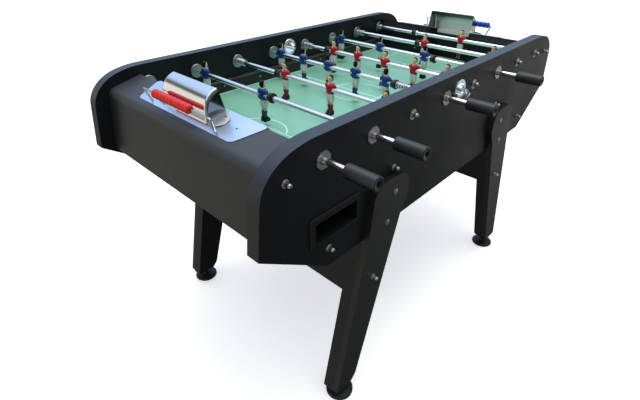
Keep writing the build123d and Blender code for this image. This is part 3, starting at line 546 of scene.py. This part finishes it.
def figure_mesh(name, shirt, sock):
    parts = []          # (verts, faces, material index)
    mats = [shirt, M_SHORTS, M_SKIN, M_HAIR, sock, M_SHOE]
    # shirt: chest with sloping shoulders, drawn in at the waist
    parts.append(rings([(-13.0, 0, 0, 8.2, 11.2, 2.2), (-12.3, 0, 0, 9.6, 12.5, 2.3), (-8, 0.2, 0, 10.2, 12.7, 2.3),
                        (-2, 0.5, 0, 10.9, 13.0, 2.3), (5, 0.8, 0, 11.4, 14.0, 2.3), (10.5, 0.7, 0, 11.0, 15.0, 2.3),
                        (14.8, 0.2, 0, 9.6, 14.2, 2.2), (17.8, -0.2, 0, 7.6, 10.6, 2.1), (19.6, -0.3, 0, 5.8, 7.0, 2.0),
                        (20.6, -0.3, 0, 4.4, 4.8, 2.0)], n=24) + (0,))
    # arms: full shoulders, elbows out, forearms folded behind the back
    for s in (-1, 1):
        parts.append(tube_between([(0.2, s * 10.8, 15.2), (0.0, s * 13.6, 13.4), (-0.6, s * 15.4, 9.0), (-1.4, s * 15.4, 3.6),
                                   (-3.4, s * 14.0, -1.6), (-6.6, s * 11.4, -5.6), (-9.0, s * 7.4, -7.6), (-9.8, s * 3.4, -8.2)],
                                  [3.6, 5.2, 6.0, 5.6, 4.6, 3.7, 3.0, 2.2], n=12) + (0,))
    # collar and the open neck under it
    cv, cf = lathe([(4.6, 17.6), (6.6, 18.0), (7.2, 19.2), (6.2, 20.9), (4.8, 21.2), (4.0, 19.4)], (-0.4, 0, 0), "Z", n=20)
    parts.append((cv, cf, 1))
    parts.append(ellipsoid((7.6, 0, 16.4), (3.4, 2.7, 4.2), n=12, m=8) + (2,))
    # neck and head
    parts.append(rings([(15, 0, 0, 4.0, 4.2, 2), (19, 0.2, 0, 4.0, 4.0, 2), (24, 0.4, 0, 4.4, 4.2, 2)], n=14) + (2,))
    parts.append(rings([(19.4, 3.4, 0, 2.0, 1.8, 2.0), (20.6, 3.1, 0, 4.2, 3.4, 2.1), (23.2, 1.9, 0, 6.1, 5.0, 2.1),
                        (27.2, 1.0, 0, 7.3, 6.0, 2.1), (31.4, 0.5, 0, 7.8, 6.4, 2.1), (35.2, 0.2, 0, 7.5, 6.3, 2.1),
                        (38.4, -0.2, 0, 6.0, 5.2, 2.1), (40.2, -0.4, 0, 3.6, 3.2, 2.0), (40.8, -0.4, 0, 1.2, 1.1, 2.0)], n=20) + (2,))
    parts.append(ellipsoid((8.4, 0, 28.2), (1.5, 1.1, 2.1), n=10, m=6) + (2,))                 # nose
    for s in (-1, 1):
        parts.append(ellipsoid((-0.4, s * 6.4, 28.6), (1.7, 0.9, 2.3), n=10, m=6) + (2,))      # ears
        parts.append(ellipsoid((7.3, s * 2.5, 30.8), (0.8, 0.95, 0.75), n=8, m=6) + (3,))      # eyes
        parts.append(ellipsoid((7.0, s * 2.6, 32.8), (1.0, 1.6, 0.45), n=8, m=6) + (3,))       # brows
    # hair: crown and back of the head
    hv, hf = rings([(22.6, -3.8, 0, 2.6, 3.8, 2.0), (24.6, -3.8, 0, 4.4, 5.6, 2.1), (28.0, -3.6, 0, 5.6, 6.7, 2.1),
                    (32.0, -3.2, 0, 6.1, 7.1, 2.1), (35.4, -2.5, 0, 6.6, 7.0, 2.1), (38.0, -1.4, 0, 7.0, 6.3, 2.1),
                    (40.0, -0.9, 0, 5.8, 5.0, 2.1), (41.2, -0.8, 0, 3.4, 3.0, 2.0), (41.5, -0.8, 0, 1.2, 1.1, 2.0)], n=20)
    parts.append((hv, hf, 3))
    # shorts: seat, then two legs with a crease between
    parts.append(rings([(-23.5, 0, 0, 8.6, 11.4, 2.3), (-15.5, 0, 0, 9.2, 12.2, 2.3), (-12.6, 0, 0, 8.8, 11.8, 2.3),
                        (-11.4, 0, 0, 7.4, 10.4, 2.3)], n=24) + (1,))
    for s in (-1, 1):
        parts.append(rings([(-37.4, 0.2, s * 5.9, 5.6, 4.2, 2.2), (-37.0, 0.2, s * 5.9, 7.2, 5.5, 2.3), (-30.0, 0, s * 6.0, 8.0, 6.0, 2.4),
                            (-21.5, 0, s * 6.0, 8.7, 6.3, 2.4), (-16.0, 0, s * 5.6, 8.2, 6.0, 2.4)], n=18) + (1,))
        # knee
        parts.append(rings([(-48, 0.0, s * 4.5, 4.4, 3.9, 2.0), (-44, 0.3, s * 4.6, 4.8, 4.1, 2.0), (-40, 0.6, s * 4.8, 5.0, 4.4, 2.0),
                            (-35, 0.2, s * 5.2, 5.0, 4.5, 2.0)], n=14) + (2,))
        # sock with a turned top
        parts.append(rings([(-66, -0.6, s * 4.4, 4.6, 4.2, 2.0), (-60, -0.8, s * 4.3, 5.0, 4.3, 2.0), (-53, -0.8, s * 4.4, 5.8, 4.7, 2.0),
                            (-48.6, -0.3, s * 4.5, 6.0, 4.9, 2.0), (-45.4, 0, s * 4.6, 6.3, 5.2, 2.0), (-44.4, 0, s * 4.6, 5.8, 4.7, 2.0),
                            (-45.0, 0, s * 4.6, 4.6, 3.8, 2.0)], n=16) + (4,))
    # shoes: one broad pair, toes forward, slightly parted
    for s in (-1, 1):
        prof = [(-78.0, 2.6, 10.8, 4.6), (-77.2, 2.6, 12.2, 5.4), (-74.6, 2.6, 12.6, 5.7), (-71.0, 2.2, 11.9, 5.7), (-67.6, 1.0, 9.6, 5.5),
                (-64.4, -0.4, 7.2, 5.1), (-62.0, -0.8, 5.8, 4.6), (-61.6, -0.8, 4.4, 3.4)]
        vs, fs = rings([(z, cx, s * 5.2, rx, ry, 2.5) for z, cx, rx, ry in prof], n=22)
        parts.append((vs, fs, 5))
    V, F, K = [], [], []
    for v, f, k in parts:
        o = len(V)
        V += v
        F += [tuple(i + o for i in t) for t in f]
        K += [k] * len(f)
    me = bpy.data.meshes.new(name)
    me.from_pydata([tuple(c * MM for c in v) for v in V], [], F)
    me.validate()
    for m in mats:
        me.materials.append(m)
    for p, k in zip(me.polygons, K):
        p.material_index = k
    bm = bmesh.new()
    bm.from_mesh(me)
    bmesh.ops.recalc_face_normals(bm, faces=bm.faces)
    bm.to_mesh(me)
    bm.free()
    for p in me.polygons:
        p.use_smooth = True
    return me


FIG = {-1: figure_mesh("figure_blue", M_BLUESHIRT, M_BLUESOCK), 1: figure_mesh("figure_red", M_REDSHIRT, M_REDSOCK)}
for i in range(8):
    for k, y in enumerate(MEN_Y[i]):
        nm = "rod_%d_figure_%d" % (i + 1, k + 1)
        o = bpy.data.objects.new(nm, FIG[HANDLE[i]])
        bpy.context.scene.collection.objects.link(o)
        o.location = (ROD_X[i] * MM, y * MM, ROD_Z * MM)
        if HANDLE[i] > 0:
            o.rotation_euler = (0, 0, math.pi)
        sub = o.modifiers.new("smooth", "SUBSURF")
        sub.levels = sub.render_levels = 1
        bpy.context.view_layer.update()
        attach(o, "rod_%d" % (i + 1))
        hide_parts("rod_%d_men" % (i + 1))

# ------------------------------------------------------------------ springs and stops
for i in range(8):
    if i == 3:
        continue
    h = HANDLE[i]
    c = (ROD_X[i], ROD_Z)
    L = 14.0 if i in (0, 7) else 38.0
    turns = 3.2 if i in (0, 7) else 5.6
    ys = sorted((h * 335.4, h * (335.4 - L)))
    V, F = helix(c, 10.0, 1.3, ys[0] + 1.3, ys[1] - 1.3, turns, lead=0.6)
    o = make("rod_%d_buffer_spring" % (i + 1), V, F, [M_SPRING], "root", angle=80)
    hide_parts("buffer_springs")
    if i not in (0, 7):
        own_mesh(o)

for i in range(8):
    b, h = BUMPER_Y[i], HANDLE[i]
    x = ROD_X[i]
    r0 = TUBE_R + 0.1
    flange = [(r0, 3.0), (12.4, 3.0), (13.4, 3.2), (13.9, 3.7), (14.0, 4.5), (14.0, 8.8), (13.7, 9.6), (13.0, 10.0), (r0, 10.0)]
    sleeve = [(r0, -7.5), (10.9, -7.5), (11.7, -7.1), (12.0, -6.2), (12.0, -2.0), (12.0, 2.9), (r0, 2.9)]
    for part, prof, mat in (("stop", flange, M_RUBBER), ("stop_sleeve", sleeve, M_SLEEVE)):
        V, F = lathe([(r, h * t) for r, t in prof], (x, b, ROD_Z), "Y", n=36)
        o = make("rod_%d_%s" % (i + 1, part), V, F, [mat], "rod_%d_stop" % (i + 1), angle=40)
        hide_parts("rod_%d_bumper" % (i + 1))
    if i in (0, 7):
        prof = [(r0, -16.2), (10.2, -16.2), (11.3, -15.4), (11.5, -14.6), (11.5, -9.8), (11.3, -9.0), (10.2, -8.2), (r0, -8.2)]
        V, F = lathe([(r, h * t) for r, t in prof], (x, b, ROD_Z), "Y", n=36)
        make("rod_%d_collar" % (i + 1), V, F, [M_CHROME], "rod_%d_stop" % (i + 1), angle=40)
    if i == 3:
        ys = sorted((b + h * 10.2, b + h * 49.8))
        V, F = helix((x, ROD_Z), 10.2, 1.3, ys[0] + 1.3, ys[1] - 1.3, 5.6, lead=0.6)
        o = make("rod_4_loose_spring", V, F, [M_SPRING], "rod_4_stop", angle=80)
        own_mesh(o)

# ------------------------------------------------------------------ counter beads with deep round grooves
BEAD = [(2.8, 0.0), (6.9, 0.0), (8.4, 0.7), (9.9, 2.3), (11.0, 4.7), (11.5, 7.95), (11.0, 11.2), (9.9, 13.6), (8.4, 15.2), (6.9, 15.9),
        (2.8, 15.9)]
for nm, sx, first, mat in (("left", -1, 90.0, M_REDBEAD), ("right", 1, 19.0, M_BLUEBEAD)):
    V, F = merge([lathe(BEAD, (sx * 670.0, first - 16.1 * k - 15.9, 892.0), "Y", n=32) for k in range(10)])
    o = make("beads_" + nm, V, F, [mat], "counter_beads_" + nm, angle=50)
    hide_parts("counter_beads_" + nm)

# ------------------------------------------------------------------ small screws


def screw(x, y, z, nx, ny, nz, r=4.2, h=1.8):
    """Domed screw head with a round recess in its top, its axis along (nx, ny, nz)."""
    prof = [(r, 0.0), (r, 0.3), (r * 0.93, h * 0.45), (r * 0.72, h * 0.8), (r * 0.4, h * 0.97), (r * 0.26, h), (r * 0.22, h * 0.45), (0.01, h * 0.4)]
    vs, fs = lathe(prof, (0, 0, 0), "Z", n=20, closed=False)
    fs.append(tuple(k * len(prof) for k in range(20)))
    d = Vector((nx, ny, nz)).normalized()
    q = Vector((0, 0, 1)).rotation_difference(d).to_matrix()
    p = Vector((x, y, z))
    return [tuple(q @ Vector(v) + p) for v in vs], fs


heads = []
for s in (-1, 1):
    for x in (-480, -315, -160, 160, 315, 480):
        heads.append(screw(x, s * 328.0, 769.0, 0, -s, 0, 3.4, 1.2))
    for sy in (-1, 1):
        heads.append(screw(s * 588.9, sy * 150, 769, -s, 0, 0, 3.6, 1.2))
V, F = merge(heads)
make("band_screws", V, F, [M_ZINC], "root", angle=50)
heads = []
n_len = math.hypot(1, SLOPE)
for s in (-1, 1):
    nx, nz = s * SLOPE / n_len, 1 / n_len
    for v in (-172.0, 172.0):
        px, pz = s * (END_X + 35.0 / n_len), slope_z(END_X + 35.0 / n_len)
        heads.append(screw(px + nx * 1.6, v, pz + nz * 1.6, nx, 0, nz, 2.9, 1.0))
    for v in (-117.0, 117.0):
        px, pz = s * (END_X + 21.0 / n_len), slope_z(END_X + 21.0 / n_len)
        t = 2.0 + 5.2
        heads.append(screw(px + nx * t, v, pz + nz * t, nx, math.copysign(0.16, v), nz, 2.7, 1.0))
V, F = merge(heads)
make("plate_screws", V, F, [M_SCREW], "root", angle=50)

# goal lips: the goal plate's inner edge bent down against the back of each goal recess
V, F = [], []
for sx in (-1, 1):
    out = [(-79.0, 854.6)]
    for cy, a0 in ((-75.0, 180), (75.0, 270)):
        for k in range(7):
            a = math.radians(a0 + 15 * k)
            out.append((cy + 4.0 * math.cos(a), 843.0 + 4.0 * math.sin(a)))
    out.append((79.0, 854.6))
    o, n = len(V), len(out)
    V += [(sx * x, y, z) for x in (648.6, 649.8) for y, z in out]
    F += [tuple(o + k for k in range(n)), tuple(o + n + k for k in range(n))]
    F += [(o + k, o + (k + 1) % n, o + n + (k + 1) % n, o + n + k) for k in range(n)]
make("goal_lips", V, F, [M_LIP], "root", angle=40)

# ------------------------------------------------------------------ smooth shading and softened edges on the CAD pieces
for nme, o in NODES.items():
    for p in o.data.polygons:
        p.use_smooth = True
    o.data.set_sharp_from_angle(angle=math.radians(32))


def soften(name, width, seg=2, angle=40):
    m = NODES[name].modifiers.new("soften", "BEVEL")
    m.width = width * MM
    m.segments = seg
    m.limit_method = "ANGLE"
    m.angle_limit = math.radians(angle)
    m.use_clamp_overlap = True
    m.harden_normals = False


for nme in ("leg_plates", "leg_posts", "leg_cross_boards"):
    soften(nme, 1.2)
soften("panel_edge_trims", 1.2, 2)
soften("return_slot_frames", 0.6)

# ------------------------------------------------------------------ floor, light, camera
fl = bpy.data.meshes.new("floor")
S = 18.0
fl.from_pydata([(-S, -S, 0), (S, -S, 0), (S, S, 0), (-S, S, 0)], [], [(0, 1, 2, 3)])
floor = bpy.data.objects.new("floor", fl)
bpy.context.scene.collection.objects.link(floor)
M_FLOOR = surface("floor_pale", (0.93, 0.885, 0.84, 1), (0.95, 0.905, 0.86, 1), rough=(0.75, 0.85), grain=60, bump=0.0, large=1.0,
                  specular=0.1)
fl.materials.append(M_FLOOR)
for n in M_FLOOR.node_tree.nodes:
    if n.type == "BSDF_PRINCIPLED":
        n.inputs["Emission Color"].default_value = (1.0, 1.0, 1.0, 1.0)
        n.inputs["Emission Strength"].default_value = 0.46      # a back-lit sheet, so the table's shadow stays pale
floor.visible_glossy = False      # gloss and bounce see the studio's own ground tones below, not the pale sheet
floor.visible_diffuse = False

w = bpy.data.worlds.new("studio")
bpy.context.scene.world = w
w.use_nodes = True
nt = w.node_tree
bg = nt.nodes["Background"]
tc = node(nt, "ShaderNodeTexCoord")
sep = node(nt, "ShaderNodeSeparateXYZ")
link(nt, tc.outputs["Generated"], sep.inputs[0])


def ramp_of(source, lo, hi, stops):
    mr = node(nt, "ShaderNodeMapRange")
    mr.inputs["From Min"].default_value = lo
    mr.inputs["From Max"].default_value = hi
    link(nt, source, mr.inputs["Value"])
    r = node(nt, "ShaderNodeValToRGB")
    while len(r.color_ramp.elements) < len(stops):
        r.color_ramp.elements.new(0.5)
    for e, (v, c) in zip(r.color_ramp.elements, stops):
        e.position = (v - lo) / (hi - lo)
        e.color = tuple(c) + (1.0,)
    link(nt, mr.outputs["Result"], r.inputs["Fac"])
    return r.outputs["Color"]


def mix(fac, a, b):
    m = nt.nodes.new("ShaderNodeMix")
    m.data_type = "RGBA"
    link(nt, fac, m.inputs[0])
    for k, v in ((6, a), (7, b)):
        if isinstance(v, tuple):
            m.inputs[k].default_value = v + (1.0,)
        else:
            link(nt, v, m.inputs[k])
    return m.outputs[2]


STRENGTH = 1.7
# sky by height: to the right a low dark skirting under light blue, to the left cream with a dark band over it
BLUE, HIGH, TOP = (0.35, 0.475, 0.68), (0.66, 0.69, 0.74), (0.98, 0.97, 0.95)
CREAM = (0.52, 0.50, 0.45)
sky_r = ramp_of(sep.outputs["Z"], 0.0, 1.0, [
    (0.00, (0.050, 0.052, 0.055)), (0.05, (0.042, 0.046, 0.050)), (0.13, (0.21, 0.27, 0.36)), (0.25, (0.34, 0.45, 0.63)),
    (0.60, BLUE), (0.80, HIGH), (1.00, TOP)])
sky_l = ramp_of(sep.outputs["Z"], 0.0, 1.0, [
    (0.00, CREAM), (0.29, CREAM), (0.345, (0.12, 0.105, 0.08)), (0.43, (0.06, 0.056, 0.05)), (0.50, (0.30, 0.39, 0.54)),
    (0.60, BLUE), (0.80, HIGH), (1.00, TOP)])
side = node(nt, "ShaderNodeMapRange", _interpolation_type="SMOOTHSTEP")
side.inputs["From Min"].default_value = -0.35
side.inputs["From Max"].default_value = 0.10
link(nt, sep.outputs["X"], side.inputs["Value"])
sky = mix(side.outputs["Result"], sky_l, sky_r)
# the side in front of the table is a shaded one
sky_f = ramp_of(sep.outputs["Z"], 0.0, 1.0, [
    (0.00, (0.075, 0.080, 0.086)), (0.30, (0.095, 0.105, 0.120)), (0.55, (0.20, 0.22, 0.25)), (0.80, HIGH), (1.00, TOP)])
front = node(nt, "ShaderNodeMapRange", _interpolation_type="SMOOTHSTEP")
front.inputs["From Min"].default_value = -0.10
front.inputs["From Max"].default_value = -0.50
link(nt, sep.outputs["Y"], front.inputs["Value"])
sky = mix(front.outputs["Result"], sky, sky_f)
# ground: cream far to the left, dark in the middle, lighter again far to the right, darker straight below
ground = ramp_of(sep.outputs["X"], -1.0, 1.0, [
    (-1.00, CREAM), (-0.52, CREAM), (-0.34, (0.10, 0.10, 0.095)), (0.45, (0.085, 0.090, 0.095)), (0.70, (0.17, 0.17, 0.17)),
    (0.90, (0.44, 0.44, 0.42)), (1.00, (0.46, 0.46, 0.44))])
below = ramp_of(sep.outputs["Z"], -1.0, 0.0, [
    (-1.00, (0.45, 0.45, 0.45)), (-0.66, (0.50, 0.50, 0.50)), (-0.42, (0.85, 0.85, 0.85)), (-0.16, (1.0, 1.0, 1.0))])
dim = nt.nodes.new("ShaderNodeMix")
dim.data_type = "RGBA"
dim.blend_type = "MULTIPLY"
dim.inputs[0].default_value = 1.0
link(nt, ground, dim.inputs[6])
link(nt, below, dim.inputs[7])
ground = dim.outputs[2]
up = node(nt, "ShaderNodeMath", _operation="GREATER_THAN")
up.inputs[1].default_value = 0.0
link(nt, sep.outputs["Z"], up.inputs[0])
both = mix(up.outputs[0], ground, sky)
lp = node(nt, "ShaderNodeLightPath")
seen = mix(lp.outputs["Is Camera Ray"], both, tuple(0.97 / STRENGTH for _ in range(3)))
link(nt, seen, bg.inputs["Color"])
bg.inputs["Strength"].default_value = STRENGTH


def area(name, loc, target, size, power, color=(1, 1, 1), size_y=None):
    L = bpy.data.lights.new(name, "AREA")
    L.shape = "RECTANGLE"
    L.size = size
    L.size_y = size_y or size
    L.energy = power
    L.color = color
    o = bpy.data.objects.new(name, L)
    bpy.context.scene.collection.objects.link(o)
    o.location = loc
    o.rotation_euler = (Vector(target) - Vector(loc)).to_track_quat("-Z", "Y").to_euler()
    return o


area("top_soft", (0.3, 0.0, 3.6), (0, 0, 0.8), 3.0, 45, (0.95, 0.98, 1.0), 2.2)

cam = bpy.data.cameras.new("camera")
co = bpy.data.objects.new("camera", cam)
bpy.context.scene.collection.objects.link(co)
k = 1.08 * MM
co.location = (-1022.79 * k, -820.72 * k, 1145.93 * k)
co.rotation_euler = (math.pi / 2 - 0.52332, 0.0, 0.752862 - math.pi / 2)
cam.sensor_fit = "HORIZONTAL"
cam.sensor_width = 36.0
cam.lens = 423.706 / 640.0 * 36.0
cam.shift_x = (320.0 - 325.870) / 640.0
cam.shift_y = (172.625 - 200.0) / 640.0
cam.clip_start, cam.clip_end = 0.01, 60.0
bpy.context.scene.camera = co

bpy.context.scene.view_settings.view_transform = "Standard"
bpy.context.scene.view_settings.look = "None"
